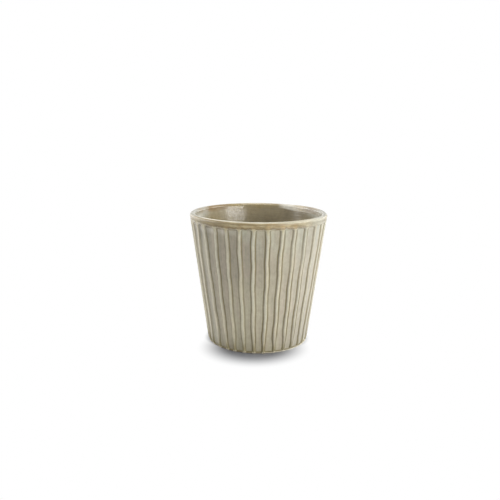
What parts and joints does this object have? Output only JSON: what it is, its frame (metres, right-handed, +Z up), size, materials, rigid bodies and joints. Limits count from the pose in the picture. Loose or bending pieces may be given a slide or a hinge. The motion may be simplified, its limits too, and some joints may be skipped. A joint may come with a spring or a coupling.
{
  "type": "espresso cup",
  "caption": "Handleless espresso cup: a tapering open stoneware tumbler with hand-pulled vertical ribs, a rounded lip and a flat foot ring. It holds a short coffee.",
  "frame": {"origin": "centre of the circle the foot ring stands on", "axes": "+Z up along the cup's axis, -Y towards the viewer of the picture, +X to the viewer's right"},
  "size_m": [0.0626, 0.0626, 0.06],
  "materials": {
    "bare_clay": "bare fired stoneware, matt",
    "wall_glaze": "satin grey-taupe glaze",
    "liner_glaze": "glossy brown glaze",
    "rim_glaze": "glossy ochre glaze broken over a pale lip",
    "rib_glaze": "pale cream glaze where it thins over the ribs"
  },
  "bodies": {
    "root": {"stoneware_body": "bare_clay", "foot_ring": "bare_clay", "rim_ring": "rim_glaze", "outer_glaze": "wall_glaze", "inner_glaze": "liner_glaze", "rib_01": "rib_glaze", "rib_02": "rib_glaze", "rib_03": "rib_glaze", "rib_04": "rib_glaze", "rib_05": "rib_glaze", "rib_06": "rib_glaze", "rib_07": "rib_glaze", "rib_08": "rib_glaze", "rib_09": "rib_glaze", "rib_10": "rib_glaze", "rib_11": "rib_glaze", "rib_12": "rib_glaze", "rib_13": "rib_glaze", "rib_14": "rib_glaze", "rib_15": "rib_glaze", "rib_16": "rib_glaze", "rib_17": "rib_glaze", "rib_18": "rib_glaze", "rib_19": "rib_glaze", "rib_20": "rib_glaze", "rib_21": "rib_glaze", "rib_22": "rib_glaze", "rib_23": "rib_glaze", "rib_24": "rib_glaze", "rib_25": "rib_glaze", "rib_26": "rib_glaze", "rib_27": "rib_glaze", "rib_28": "rib_glaze", "rib_29": "rib_glaze", "rib_30": "rib_glaze", "rib_31": "rib_glaze", "rib_32": "rib_glaze"}
  },
  "joints": []
}
